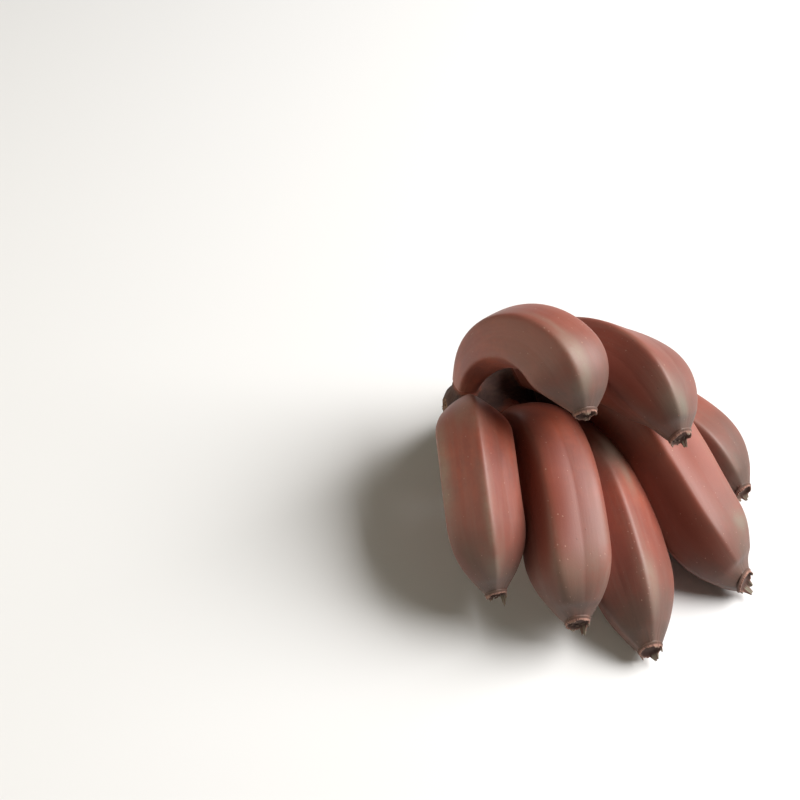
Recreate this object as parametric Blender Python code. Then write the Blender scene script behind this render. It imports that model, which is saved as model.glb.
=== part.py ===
"""A hand of seven red bananas, grown as one piece on its crown.

Seven fingers curve out of one crown in two rows and lie over each other, with their
blossom ends toward the viewer. The whole hand is one living piece, so it is one solid.
Metres, +Z up, the viewer looks along +Y. The bottom centre of the hand is the origin.
"""
import math

import bmesh
import bpy
import numpy as np

MM = 0.001

# Whole hand
NODE_NAME = "banana_hand"
WELD = 0.002 * MM             # seams of the joined fingers are welded below this

# One finger, as shares of its girth and of its length
GIRTH = 43.0 * MM            # belly width of a full finger
NECK_SHARE = 0.38            # neck width over belly width
NECK_END = 0.05              # share of the length where the neck starts to swell
SHOULDER_END = 0.28          # share of the length where the belly is full
SHOULDER_POWER = 0.8
TAPER_START = 0.70           # share of the length where the blossom end starts to narrow
TAPER_POWER = 2.2
TIP_SHARE = 0.31             # blossom end width over belly width
ROOT_FLARE = 0.30            # widening of the neck where it meets the crown
ROOT_FLARE_RUN = 0.03

# The five long ridges of the peel
RIDGES = 5
RIDGE_SHARE = 0.85           # 0 is a round finger, 1 a sharp five-sided one
RIDGE_STRENGTHS = (1.0, 0.75, 0.9, 0.6, 0.85)
RIDGE_SOFTNESS = math.radians(4.0)
RIDGE_BELLY = 0.87           # keeps the mean width of the five-sided section at the girth
RIDGE_NECK_SHARE = 0.45      # what is left of the ridges on the neck
RIDGE_TIP_SHARE = 0.55       # and at the blossom end
RIDGE_RISE = (0.05, 0.30)    # shares of the length between which the ridges grow to full
RIDGE_FALL = (0.80, 1.00)    # and between which they fade

# Blossom end, in millimetres: radius as a share of the tip's, then distance along the finger
BLOSSOM_PROFILE = (
    (1.04, 0.7),
    (1.00, 1.5),
    (0.78, 1.7),
    (0.62, 0.5),
    (0.42, 0.6),
    (0.30, 3.2),
    (0.13, 5.2),
)
STUB_LEAN = 0.35             # lean of the dried stub toward the floor over its length
STUB_START = 1.7             # where the lean starts, in millimetres past the tip

# Mesh fineness
RINGS = 18
AROUND = 20
RING_EASE = 0.5              # 0 spaces the rings evenly, 1 crowds them at both ends
LINE_STEPS = 401             # points that measure a finger's middle line

# Fingers: root and tip in millimetres, then the heading and rise in degrees of the way
# each leaves the crown and arrives at its tip. Heading 0 is toward the viewer, 90 is right.
# girth is a share of GIRTH, roll and twist place the ridges, handles shape the bend.
FINGERS = (
    dict(name="front_1", root=(-88.0, 122.5, 45.0), tip=(-75.5, 19.5, 29.0), leaves=(4, 44),
         arrives=(14, -34), girth=0.87, roll=-3, twist=0, handles=(0.46, 0.42), shoulder=0.34),
    dict(name="front_2", root=(-76.5, 118.0, 34.5), tip=(-36.0, 6.0, 25.0), leaves=(78, 27),
         arrives=(8, -30), girth=0.98, roll=7, twist=0, handles=(0.38, 0.50), taper=0.74,
         shoulder=0.34),
    dict(name="front_3", root=(-64.5, 128.5, 30.2), tip=(0.5, -1.5, 11.0), leaves=(64, 8),
         arrives=(14, -14), girth=0.98, roll=68, twist=0, handles=(0.40, 0.50), taper=0.72,
         shoulder=0.38),
    dict(name="front_4", root=(-48.0, 134.5, 39.0), tip=(52.5, 36.0, 12.0), leaves=(92, 20),
         arrives=(50, -14), girth=0.99, roll=-54, twist=-25, handles=(0.48, 0.36), taper=0.76,
         shoulder=0.40),
    dict(name="front_5", root=(-42.5, 137.0, 22.5), tip=(60.5, 90.0, 13.5), leaves=(102, 2),
         arrives=(30, -10), girth=0.88, roll=18, twist=0, handles=(0.46, 0.46)),
    dict(name="back_1", root=(-88.0, 127.0, 45.0), tip=(-34.0, 80.0, 96.0), leaves=(175, 84),
         arrives=(11, -27), girth=0.91, roll=-24, twist=10, handles=(0.70, 0.56), taper=0.76,
         shoulder=0.86),
    dict(name="back_2", root=(-68.0, 139.0, 44.5), tip=(15.0, 80.5, 76.0), leaves=(104, 32),
         arrives=(22, -32), girth=0.93, roll=-42, twist=50, handles=(0.46, 0.40)),
)

# Crown: a wedge of stalk in the plane across the old stalk, in millimetres
CROWN_CENTRE = (-84.0, 130.0, 12.0)
CROWN_ACROSS = (0.935, 0.340, 0.080)     # toward the lowest finger
CROWN_UP = (0.007, -0.330, 0.940)        # toward the highest finger
CROWN_ALONG = (0.350, -0.880, -0.310)    # along the old stalk
CROWN_ARC = (46.0, 41.0)                 # half sizes of the outer arc
CROWN_ARC_ANGLES = (-18.0, 104.0)
CROWN_ARC_STEPS = 10
CROWN_CUT = (
    (-14.5, 34.0),
    (-15.5, 25.0),
    (-7.0, 2.0),
    (5.0, -13.0),
    (13.0, -19.0),
    (32.0, -22.0),
    (40.0, -17.0),
)

# Crown layers: reach along the old stalk, then size as a share of the outline
CROWN_LAYERS = (
    (-20.5, 0.66),
    (-18.5, 0.82),
    (-13.0, 0.95),
    (-4.0, 1.00),
    (4.5, 0.96),
    (9.5, 0.84),
    (11.5, 0.68),
)

# Block under the floor that flattens the spots the hand rests on
FLOOR_HALF = 0.4
FLOOR_DEPTH = 0.1

# Finish of the peel
PEEL_COLOUR = (0.235, 0.068, 0.045)
PEEL_ROUGHNESS = 0.42


def smooth_step(share):
    """Ease from 0 to 1 over the unit range."""
    share = np.clip(share, 0.0, 1.0)
    return share * share * (3.0 - 2.0 * share)


def aim(heading, rise):
    """Unit direction from a heading and a rise in degrees."""
    turn = math.radians(heading)
    lift = math.radians(rise)
    return np.array([math.sin(turn) * math.cos(lift), -math.cos(turn) * math.cos(lift), math.sin(lift)])


def centreline(finger, shares):
    """Points and directions of a finger's middle line at the given shares of its length."""
    root = np.array(finger["root"]) * MM
    tip = np.array(finger["tip"]) * MM
    chord = np.linalg.norm(tip - root)
    first, last = finger["handles"]
    second = root + aim(*finger["leaves"]) * chord * first
    third = tip - aim(*finger["arrives"]) * chord * last
    t = np.linspace(0.0, 1.0, LINE_STEPS)[:, None]
    curve = (1 - t) ** 3 * root + 3 * (1 - t) ** 2 * t * second + 3 * (1 - t) * t * t * third + t ** 3 * tip
    slope = (1 - t) ** 2 * (second - root) + 2 * (1 - t) * t * (third - second) + t * t * (tip - third)
    run = np.concatenate([[0.0], np.cumsum(np.linalg.norm(np.diff(curve, axis=0), axis=1))])
    wanted = shares * run[-1]
    points = np.stack([np.interp(wanted, run, curve[:, k]) for k in range(3)], axis=1)
    heads = np.stack([np.interp(wanted, run, slope[:, k]) for k in range(3)], axis=1)
    heads /= np.linalg.norm(heads, axis=1)[:, None]
    return points, heads


def side_vectors(heads):
    """Two vectors across each direction, carried along the line without twist."""
    up = np.zeros_like(heads)
    start = np.array([0.0, 0.0, 1.0])
    start = start - heads[0] * (start @ heads[0])
    up[0] = start / np.linalg.norm(start)
    for i in range(1, len(heads)):
        carried = up[i - 1] - heads[i] * (up[i - 1] @ heads[i])
        up[i] = carried / np.linalg.norm(carried)
    return up, np.cross(heads, up)


def girth_shares(finger, shares):
    """Width of the finger along its length, as a share of its belly width."""
    shoulder = finger.get("shoulder", SHOULDER_END)
    taper = finger.get("taper", TAPER_START)
    swell = smooth_step((shares - NECK_END) / (shoulder - NECK_END)) ** SHOULDER_POWER
    width = NECK_SHARE + (1.0 - NECK_SHARE) * swell
    ease = np.clip((shares - taper) / (1.0 - taper), 0.0, 1.0)
    width = width * (1.0 - (1.0 - TIP_SHARE) * ease ** TAPER_POWER)
    return width * (1.0 + ROOT_FLARE * np.exp(-shares / ROOT_FLARE_RUN))


def ridge_factor(angles, shares, finger):
    """Radius factor of the five-sided section at these angles."""
    facet = 2.0 * math.pi / RIDGES
    turned = angles - math.radians(finger["roll"]) - np.radians(finger["twist"]) * (shares - 0.5)
    place = turned / facet
    nearest = np.round(place)
    from_ridge = np.abs(place - nearest) * facet
    softened = np.sqrt(from_ridge ** 2 + RIDGE_SOFTNESS ** 2) - RIDGE_SOFTNESS
    from_middle = facet / 2.0 - softened
    flat = math.cos(facet / 2.0) / np.cos(from_middle) / RIDGE_BELLY
    blend = np.cos(math.pi * (place - nearest)) ** 2
    strengths = np.array(RIDGE_STRENGTHS)
    own = strengths[nearest.astype(int) % RIDGES]
    beside = strengths[(nearest + np.sign(place - nearest)).astype(int) % RIDGES]
    strength = own * (0.5 + 0.5 * blend) + beside * (0.5 - 0.5 * blend)
    rise, fall = (smooth_step((shares - a) / (b - a)) for a, b in (RIDGE_RISE, RIDGE_FALL))
    fade = RIDGE_NECK_SHARE + (1.0 - RIDGE_NECK_SHARE) * rise
    fade = fade * (1.0 - (1.0 - RIDGE_TIP_SHARE) * fall)
    return 1.0 + RIDGE_SHARE * strength * fade * (flat - 1.0)


def finger_mesh(finger):
    """Closed tube of one finger, from its root inside the crown to its dried stub."""
    t = np.linspace(0.0, 1.0, RINGS)
    shares = (1.0 - RING_EASE) * t + RING_EASE * (1.0 - np.cos(math.pi * t)) / 2.0
    points, heads = centreline(finger, shares)
    up, across = side_vectors(heads)
    angles = np.linspace(0.0, 2.0 * math.pi, AROUND, endpoint=False) + math.radians(finger["roll"])
    radius = GIRTH * finger["girth"] / 2.0 * girth_shares(finger, shares)
    factor = ridge_factor(angles[None, :], shares[:, None], finger)
    cos = np.cos(angles)[None, :, None]
    sin = np.sin(angles)[None, :, None]
    spokes = cos * up[:, None, :] + sin * across[:, None, :]
    rings = list(points[:, None, :] + (radius[:, None] * factor)[..., None] * spokes)
    down = np.array([0.0, 0.0, -1.0])
    lean = down - heads[-1] * (down @ heads[-1])
    for share, reach in BLOSSOM_PROFILE:
        sideways = lean * STUB_LEAN * max(reach - STUB_START, 0.0)
        middle = points[-1] + (heads[-1] * reach + sideways) * MM
        rings.append(middle + spokes[-1] * radius[-1] * share)
    verts = [tuple(p) for ring in rings for p in ring]
    faces = []
    for i in range(len(rings) - 1):
        for j in range(AROUND):
            k = (j + 1) % AROUND
            faces.append((i * AROUND + j, i * AROUND + k, (i + 1) * AROUND + k, (i + 1) * AROUND + j))
    faces.append(tuple(range(AROUND - 1, -1, -1)))
    faces.append(tuple(range((len(rings) - 1) * AROUND, len(rings) * AROUND)))
    return verts, faces


def crown_mesh():
    """Closed wedge that the necks grow from, with its cut face to the left."""
    centre = np.array(CROWN_CENTRE)
    across, up, along = (np.array(v) for v in (CROWN_ACROSS, CROWN_UP, CROWN_ALONG))
    outline = []
    for angle in np.radians(np.linspace(*CROWN_ARC_ANGLES, CROWN_ARC_STEPS)):
        outline.append((CROWN_ARC[0] * math.cos(angle), CROWN_ARC[1] * math.sin(angle)))
    outline.extend(CROWN_CUT)
    outline = np.array(outline)
    middle = outline.mean(axis=0)
    verts = []
    for reach, size in CROWN_LAYERS:
        for x, y in (outline - middle) * size + middle:
            verts.append(tuple((centre + across * x + up * y + along * reach) * MM))
    count = len(outline)
    faces = []
    for i in range(len(CROWN_LAYERS) - 1):
        for j in range(count):
            k = (j + 1) % count
            faces.append((i * count + j, i * count + k, (i + 1) * count + k, (i + 1) * count + j))
    faces.append(tuple(range(count - 1, -1, -1)))
    faces.append(tuple(range((len(CROWN_LAYERS) - 1) * count, len(CROWN_LAYERS) * count)))
    return verts, faces


def make_object(name, verts, faces, collection):
    """Object with its faces turned outward."""
    mesh = bpy.data.meshes.new(name)
    mesh.from_pydata(verts, [], faces)
    work = bmesh.new()
    work.from_mesh(mesh)
    bmesh.ops.recalc_face_normals(work, faces=work.faces[:])
    work.to_mesh(mesh)
    work.free()
    made = bpy.data.objects.new(name, mesh)
    collection.objects.link(made)
    return made


def apply_boolean(target, operation, tool=None, group=None):
    """Cut or join the target and keep the result as its mesh."""
    cut = target.modifiers.new("join", "BOOLEAN")
    cut.operation = operation
    cut.solver = "EXACT"
    if group is not None:
        cut.operand_type = "COLLECTION"
        cut.collection = group
    else:
        cut.object = tool
    bpy.context.view_layer.update()
    graph = bpy.context.evaluated_depsgraph_get()
    result = bpy.data.meshes.new_from_object(target.evaluated_get(graph))
    target.modifiers.remove(cut)
    target.data = result


def floor_block(collection):
    """Closed block with its top at floor height."""
    low, high = -FLOOR_HALF, FLOOR_HALF
    square = ((low, low), (high, low), (high, high), (low, high))
    corners = [(x, y, z) for z in (-FLOOR_DEPTH, 0.0) for x, y in square]
    faces = [(3, 2, 1, 0), (4, 5, 6, 7), (0, 1, 5, 4), (1, 2, 6, 5), (2, 3, 7, 6), (3, 0, 4, 7)]
    return make_object("floor_block", corners, faces, collection)


def peel_material():
    """Semi-matt brick red peel."""
    finish = bpy.data.materials.new("red_banana_peel")
    finish.use_nodes = True
    shader = finish.node_tree.nodes["Principled BSDF"]
    shader.inputs["Base Color"].default_value = (*PEEL_COLOUR, 1.0)
    shader.inputs["Roughness"].default_value = PEEL_ROUGHNESS
    shader.inputs["Metallic"].default_value = 0.0
    finish.diffuse_color = (*PEEL_COLOUR, 1.0)
    return finish


def tidy_mesh(mesh):
    """Weld, drop slivers, turn the faces into triangles and set the origin under the middle."""
    work = bmesh.new()
    work.from_mesh(mesh)
    bmesh.ops.remove_doubles(work, verts=work.verts[:], dist=WELD)
    bmesh.ops.dissolve_degenerate(work, edges=work.edges[:], dist=WELD)
    bmesh.ops.triangulate(work, faces=work.faces[:])
    bmesh.ops.recalc_face_normals(work, faces=work.faces[:])
    corners = np.array([v.co[:] for v in work.verts])
    low, high = corners.min(axis=0), corners.max(axis=0)
    shift = (-(low[0] + high[0]) / 2.0, -(low[1] + high[1]) / 2.0, -low[2])
    bmesh.ops.translate(work, verts=work.verts[:], vec=shift)
    for face in work.faces:
        face.smooth = True
    work.to_mesh(mesh)
    work.free()


def build():
    """Make the hand."""
    for old in list(bpy.data.objects):
        bpy.data.objects.remove(old, do_unlink=True)
    scene = bpy.context.scene.collection
    repeats = bpy.data.collections.new("fingers")
    scene.children.link(repeats)
    verts, faces = crown_mesh()
    hand = make_object(NODE_NAME, verts, faces, scene)
    for finger in FINGERS:
        verts, faces = finger_mesh(finger)
        make_object(finger["name"], verts, faces, repeats)
    apply_boolean(hand, "UNION", group=repeats)
    for used in list(repeats.objects):
        bpy.data.objects.remove(used, do_unlink=True)
    bpy.data.collections.remove(repeats)
    block = floor_block(scene)
    apply_boolean(hand, "DIFFERENCE", tool=block)
    bpy.data.objects.remove(block, do_unlink=True)
    tidy_mesh(hand.data)
    hand.data.name = NODE_NAME
    hand.data.materials.clear()
    hand.data.materials.append(peel_material())


build()
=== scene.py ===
"""Looks of a hand of seven red bananas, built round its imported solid.

The fingers are laid out in millimetres on a floor, from the same sizes as the solid, and the
whole hand is then moved so that its middle stands where the frame's middle is. Each finger is
a skin shaped by geometry nodes along a curved middle line, with a blossom end, dried flaps and
small specks. The crown is the old stalk that the necks grow from, with a cut and dried face.
"""
import logging
import math
from dataclasses import dataclass
from enum import Enum
from typing import Callable, Union

import bmesh
import bpy
import numpy as np
from bpy.types import Material, Mesh, Node, NodeSocket, NodeTree, Object
from mathutils import Matrix, Vector


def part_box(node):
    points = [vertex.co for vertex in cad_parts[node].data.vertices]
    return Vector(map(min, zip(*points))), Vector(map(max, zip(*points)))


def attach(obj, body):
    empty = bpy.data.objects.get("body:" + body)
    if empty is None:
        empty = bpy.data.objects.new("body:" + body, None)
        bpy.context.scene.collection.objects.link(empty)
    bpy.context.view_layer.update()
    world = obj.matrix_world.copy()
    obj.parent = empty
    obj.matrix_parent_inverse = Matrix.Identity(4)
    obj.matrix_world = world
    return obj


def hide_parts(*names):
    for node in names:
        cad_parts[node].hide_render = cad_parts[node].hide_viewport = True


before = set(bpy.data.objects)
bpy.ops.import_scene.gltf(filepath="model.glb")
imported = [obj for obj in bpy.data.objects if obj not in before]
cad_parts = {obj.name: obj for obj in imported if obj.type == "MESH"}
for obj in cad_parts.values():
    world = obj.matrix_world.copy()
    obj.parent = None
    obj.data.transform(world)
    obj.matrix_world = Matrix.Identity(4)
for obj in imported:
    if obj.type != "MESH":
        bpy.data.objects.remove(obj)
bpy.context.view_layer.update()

MM = 0.001
NODE = "banana_hand"
BODY = "root"

Pair = tuple[float, float]
Triple = tuple[float, float, float]
Colour = tuple[float, float, float]
Faces = list[tuple[int, ...]]
Shell = tuple[np.ndarray, Faces]
Trees = dict[str, NodeTree]
Finishes = dict[str, Material]

log = logging.getLogger("banana_hand")


class Socket(Enum):
    """Kinds of socket on a node group."""

    GEOMETRY = "NodeSocketGeometry"
    FLOAT = "NodeSocketFloat"
    COUNT = "NodeSocketInt"
    VECTOR = "NodeSocketVector"
    MATERIAL = "NodeSocketMaterial"


class Tree(Enum):
    """Kinds of node tree."""

    GEOMETRY = "GeometryNodeTree"
    SHADER = "ShaderNodeTree"


def applies(operation: str, flipped: bool = False) -> Callable[["Field", "Value"], "Field"]:
    """Arithmetic method of a field.

    Args:
        operation: Blender's name of the operation.
        flipped: Whether the other value comes first.

    Returns:
        The method.
    """
    def method(field: "Field", other: "Value") -> "Field":
        """Apply the operation to the field and another value."""
        values = (other, field) if flipped else (field, other)
        return field.board.maths(operation, *values)
    return method


class Field:
    """An output of a node that can stand in a formula like a number."""

    __add__ = applies("ADD")
    __radd__ = applies("ADD", flipped=True)
    __sub__ = applies("SUBTRACT")
    __rsub__ = applies("SUBTRACT", flipped=True)
    __mul__ = applies("MULTIPLY")
    __rmul__ = applies("MULTIPLY", flipped=True)
    __truediv__ = applies("DIVIDE")
    __rtruediv__ = applies("DIVIDE", flipped=True)
    __pow__ = applies("POWER")

    def __init__(self, board: "Board", socket: NodeSocket) -> None:
        """Keep the board and the output."""
        self.board = board
        self.socket = socket

    def beside(self, output: str) -> "Field":
        """Another output of the same node."""
        return Field(self.board, self.socket.node.outputs[output])


Value = Union[Field, float, int]


class Board:
    """One node tree while it is being wired."""

    def __init__(self, tree: NodeTree) -> None:
        """Keep the tree, and its group input and output where it is a group."""
        self.tree = tree
        self.entry = None
        self.exit = None

    @classmethod
    def group(cls, name: str, kind: Tree) -> "Board":
        """Start a new node group.

        Args:
            name: Name of the group.
            kind: Geometry or shader tree.

        Returns:
            The board of the group.
        """
        board = cls(bpy.data.node_groups.new(name, kind.value))
        board.entry = board.tree.nodes.new("NodeGroupInput")
        board.exit = board.tree.nodes.new("NodeGroupOutput")
        return board

    @classmethod
    def shaper(cls, name: str) -> tuple["Board", Field, Field]:
        """Start a geometry group.

        Args:
            name: Name of the group.

        Returns:
            The board, the shape that comes in and the material that the result gets.
        """
        board = cls.group(name, Tree.GEOMETRY)
        return board, board.gets("Geometry", Socket.GEOMETRY), board.gets("Finish", Socket.MATERIAL)

    def gets(self, name: str, kind: Socket, default: object = None) -> Field:
        """Add a named input to the group.

        Args:
            name: Name of the input.
            kind: Kind of socket.
            default: Its value where nothing is set.

        Returns:
            The input as a field.
        """
        made = self.tree.interface.new_socket(name, in_out="INPUT", socket_type=kind.value)
        if default is not None:
            made.default_value = default
        return Field(self, self.entry.outputs[name])

    def numbers(self, **defaults: Union[float, int]) -> list[Field]:
        """Add an input for each number, a count where it is whole.

        Args:
            **defaults: Default value by name, with underscores for spaces.

        Returns:
            The inputs as fields.
        """
        fields = []
        for name, default in defaults.items():
            kind = Socket.COUNT if isinstance(default, int) else Socket.FLOAT
            fields.append(self.gets(name.replace("_", " ").capitalize(), kind, default))
        return fields

    def gives(self, name: str, kind: Socket, value: Field) -> None:
        """Add a named output to the group and feed it."""
        self.tree.interface.new_socket(name, in_out="OUTPUT", socket_type=kind.value)
        self.tree.links.new(value.socket, self.exit.inputs[name])

    def plug(self, value: object, socket: NodeSocket) -> None:
        """Link a field to a socket, or write a plain value into it, as an opaque tone if a colour."""
        if isinstance(value, Field):
            self.tree.links.new(value.socket, socket)
        else:
            socket.default_value = (*value, 1.0) if socket.type == "RGBA" else value

    def feed(self, made: Node, inputs: dict[Union[str, int], object]) -> None:
        """Link a field or write a value into each input, by name or place."""
        for key, value in inputs.items():
            self.plug(value, made.inputs[key])

    def node(self, kind: str, inputs: dict[Union[str, int], object], output: Union[str, int] = 0,
             **settings: object) -> Field:
        """Make a node, set its options and feed its inputs.

        Args:
            kind: Blender's name of the node.
            inputs: Value or field for each input, by name or place.
            output: Name or place of the output that is wanted.
            **settings: Options of the node.

        Returns:
            The wanted output.
        """
        made = self.tree.nodes.new(kind)
        for option, value in settings.items():
            setattr(made, option, value)
        self.feed(made, inputs)
        return Field(self, made.outputs[output])

    def maths(self, operation: str, *values: Value) -> Field:
        """Apply one arithmetic operation."""
        return self.node("ShaderNodeMath", dict(enumerate(values)), operation=operation)

    def vector(self, operation: str, *values: object) -> Field:
        """Apply one vector operation that gives a vector."""
        return self.node("ShaderNodeVectorMath", dict(enumerate(values)), operation=operation)

    def scaled(self, vector: Field, size: Value) -> Field:
        """Multiply a vector by a number."""
        return self.node("ShaderNodeVectorMath", {0: vector, "Scale": size}, operation="SCALE")

    def smooth(self, value: Field, low: Value, high: Value) -> Field:
        """Ease from 0 at low to 1 at high."""
        inputs = {"Value": value, "From Min": low, "From Max": high}
        return self.node("ShaderNodeMapRange", inputs, interpolation_type="SMOOTHSTEP")

    def ramp(self, value: Field, low: Value, high: Value) -> Field:
        """Go straight from 0 at low to 1 at high, and no further."""
        return self.node("ShaderNodeMapRange", {"Value": value, "From Min": low, "From Max": high})

    def noise(self, vector: Field, scale: Value, detail: float = 3.0, roughness: float = 0.5,
              stretch: float = 1.0) -> Field:
        """Noise from 0 to 1, drawn out along z where stretch is less than 1."""
        if stretch < 1.0:
            vector = self.vector("MULTIPLY", vector, (1.0, 1.0, stretch))
        inputs = {"Vector": vector, "Scale": scale, "Detail": detail, "Roughness": roughness}
        return self.node("ShaderNodeTexNoise", inputs)

    def combine(self, x: Value, y: Value, z: Value) -> Field:
        """Vector from three numbers."""
        return self.node("ShaderNodeCombineXYZ", {0: x, 1: y, 2: z})

    def part(self, vector: Field, axis: int) -> Field:
        """One number of a vector."""
        return self.node("ShaderNodeSeparateXYZ", {0: vector}, output=axis)

    def mix(self, share: Value, first: object, second: object) -> Field:
        """Colour between two colours."""
        return self.node("ShaderNodeMix", {0: share, 6: first, 7: second}, output=2, data_type="RGBA")

    def layered(self, colour: Field, layers: tuple[tuple[Field, object], ...]) -> Field:
        """Lay colours over a first one, each where its mask says."""
        for cover, over in layers:
            colour = self.mix(cover, colour, over)
        return colour

    def bump(self, height: Field, strength: float, distance: float) -> Field:
        """Normal that is bent by a height."""
        return self.node("ShaderNodeBump", {"Height": height, "Strength": strength, "Distance": distance})

    def named(self, name: str, kind: str = "FLOAT") -> Field:
        """Read a named attribute in a geometry tree."""
        return self.node("GeometryNodeInputNamedAttribute", {"Name": name}, data_type=kind)

    def named_vector(self, name: str) -> Field:
        """Read a named vector attribute in a geometry tree."""
        return self.named(name, "FLOAT_VECTOR")

    def chance(self, low: float, high: float, seed: Value) -> Field:
        """Random number for each point or instance."""
        inputs = {2: low, 3: high, "ID": self.node("GeometryNodeInputIndex", {}), "Seed": seed}
        return self.node("FunctionNodeRandomValue", inputs, output=1, data_type="FLOAT")

    def cone(self, vertices: int, sides: int, fills: int, top: float) -> Field:
        """Closed cone one unit high and wide, with its top narrower."""
        sizes = {"Vertices": vertices, "Side Segments": sides, "Fill Segments": fills,
                 "Radius Top": top, "Radius Bottom": 0.5, "Depth": 1.0}
        return self.node("GeometryNodeMeshCone", sizes, fill_type="TRIANGLE_FAN")

    def copies(self, points: Field, shape: Field, turn: Field, size: Field) -> Field:
        """Instances of a shape on points."""
        return self.node("GeometryNodeInstanceOnPoints", {"Points": points, "Instance": shape,
                                                          "Rotation": turn, "Scale": size})

    def scattered(self, shape: Field, density: Field, seed: Value, copy: Field, size: Field) -> Field:
        """Scatter copies over a shape, each with its +Z along the shape's normal.

        Args:
            shape: The shape to scatter over.
            density: Copies for each square metre.
            seed: Seed of the scatter.
            copy: The shape that is copied.
            size: Size of each copy.

        Returns:
            The instances.
        """
        inputs = {"Mesh": shape, "Density": density, "Seed": seed}
        points = self.node("GeometryNodeDistributePointsOnFaces", inputs, output="Points")
        return self.copies(points, copy, points.beside("Rotation"), size)

    def solid(self, shape: Field) -> Field:
        """Turn instances into plain faces."""
        return self.node("GeometryNodeRealizeInstances", {0: shape})

    def moved(self, shape: Field, **places: Field) -> Field:
        """Set the position or the offset of a shape's points."""
        inputs = {name.capitalize(): place for name, place in places.items()}
        return self.node("GeometryNodeSetPosition", {"Geometry": shape, **inputs})

    def dressed(self, shape: Field, finish: Field) -> NodeTree:
        """Finish a geometry tree: whatever lies below the floor is lifted up to it.

        Args:
            shape: The shape or the instances.
            finish: Their material.

        Returns:
            The tree, which gives plain faces with their material.
        """
        where = self.node("GeometryNodeInputPosition", {})
        height = self.maths("MAXIMUM", self.part(where, 2), 0.0)
        spot = self.combine(self.part(where, 0), self.part(where, 1), height)
        inputs = {"Geometry": self.solid(self.moved(self.solid(shape), position=spot)), "Material": finish}
        self.gives("Geometry", Socket.GEOMETRY, self.node("GeometryNodeSetMaterial", inputs))
        return self.tree

    def read(self, name: str, output: str = "Fac") -> Field:
        """Read a named attribute in a material."""
        return self.node("ShaderNodeAttribute", {}, output=output, attribute_name=name)

    def mask(self, group: NodeTree, vector: Field, **values: float) -> Field:
        """Mask that a node group draws over a surface.

        Args:
            group: The node group.
            vector: Place on the surface.
            **values: Its other inputs by name.

        Returns:
            The mask.
        """
        inputs = {name.capitalize(): value for name, value in values.items()}
        return self.node("ShaderNodeGroup", {"Vector": vector, **inputs}, output="Mask", node_tree=group)


def tube_faces(rows: int, around: int) -> Faces:
    """Faces of a tube of point rings, closed at both ends.

    Args:
        rows: Number of rings.
        around: Number of points in a ring.

    Returns:
        Corner numbers of each face.
    """
    faces = []
    for i in range(rows - 1):
        for j in range(around):
            k = (j + 1) % around
            faces.append((i * around + j, (i + 1) * around + j, (i + 1) * around + k, i * around + k))
    faces.append(tuple(range(around)))
    faces.append(tuple(range(rows * around - 1, (rows - 1) * around - 1, -1)))
    return faces


def link_object(name: str, data: bpy.types.ID) -> Object:
    """Put a mesh, lamp or camera in the scene as an object at the origin."""
    made = bpy.data.objects.new(name, data)
    bpy.context.scene.collection.objects.link(made)
    return made


def plain_mesh(name: str, points: np.ndarray, faces: Faces) -> Mesh:
    """Mesh from points and faces."""
    mesh = bpy.data.meshes.new(name)
    mesh.from_pydata([tuple(p) for p in points], [], faces)
    return mesh


def store(mesh: Mesh, name: str, values: np.ndarray) -> None:
    """Write one number or vector for each point of a mesh.

    Args:
        mesh: The mesh.
        name: Name of the attribute.
        values: Array of numbers, or of vectors in rows.
    """
    kind, field = ("FLOAT", "value") if values.ndim == 1 else ("FLOAT_VECTOR", "vector")
    made = mesh.attributes.new(name, kind, "POINT")
    made.data.foreach_set(field, values.astype(np.float32).ravel())


def points_of(mesh: Mesh) -> np.ndarray:
    """Corner positions of a mesh, in rows."""
    flat = np.empty(len(mesh.vertices) * 3, np.float32)
    mesh.vertices.foreach_get("co", flat)
    return flat.reshape(-1, 3).astype(float)


def evaluated(made: Object) -> Mesh:
    """New mesh of an object as its modifiers leave it."""
    bpy.context.view_layer.update()
    graph = bpy.context.evaluated_depsgraph_get()
    return bpy.data.meshes.new_from_object(made.evaluated_get(graph), preserve_all_data_layers=True,
                                           depsgraph=graph)


def shaped(name: str, mesh: Mesh, tree: NodeTree, values: dict[str, object]) -> Object:
    """Shape a mesh with a geometry tree and keep the result as a plain mesh.

    Args:
        name: Name of the new object.
        mesh: The mesh that the tree starts from.
        tree: The geometry tree.
        values: Value of each named input.

    Returns:
        The object.
    """
    made = link_object(name, mesh)
    shaper = made.modifiers.new(tree.name, "NODES")
    shaper.node_group = tree
    for item in tree.interface.items_tree:
        if item.item_type == "SOCKET" and item.in_out == "INPUT" and item.name in values:
            shaper[item.identifier] = values[item.name]
    result = evaluated(made)
    made.modifiers.remove(shaper)
    made.data = result
    result.name = name
    result.shade_smooth()
    return made


class Tone(Enum):
    """What a patch puts on the peel: grey bloom, a greener skin, painted shade in deep red, painted shade in
    brown.
    """

    BLOOM = "bloom"
    GREEN = "green"
    # Painted shade: a deep red on facets turned away from the light and on the most brightly lit tops; it
    # also takes most of the gloss away.
    DEEP = "deep"
    # Painted shade: a brown on lit spots near the tips; it also lowers the gloss there.
    BROWN = "brown"


@dataclass(frozen=True)
class Patch:
    """A soft spot of another tone on a finger."""

    share: float
    angle: float
    reach: float
    spread: float
    strength: float = 1.0
    tone: Tone = Tone.BLOOM

    def cover(self, shares: np.ndarray, angles: np.ndarray) -> np.ndarray:
        """How strong the patch is at each point."""
        turn = np.radians(self.angle)
        away = np.abs((angles - turn + np.pi) % (2 * np.pi) - np.pi) / np.radians(self.spread)
        along = (shares - self.share) / self.reach
        return self.strength * np.exp(-(along ** 2 + away ** 2))


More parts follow.
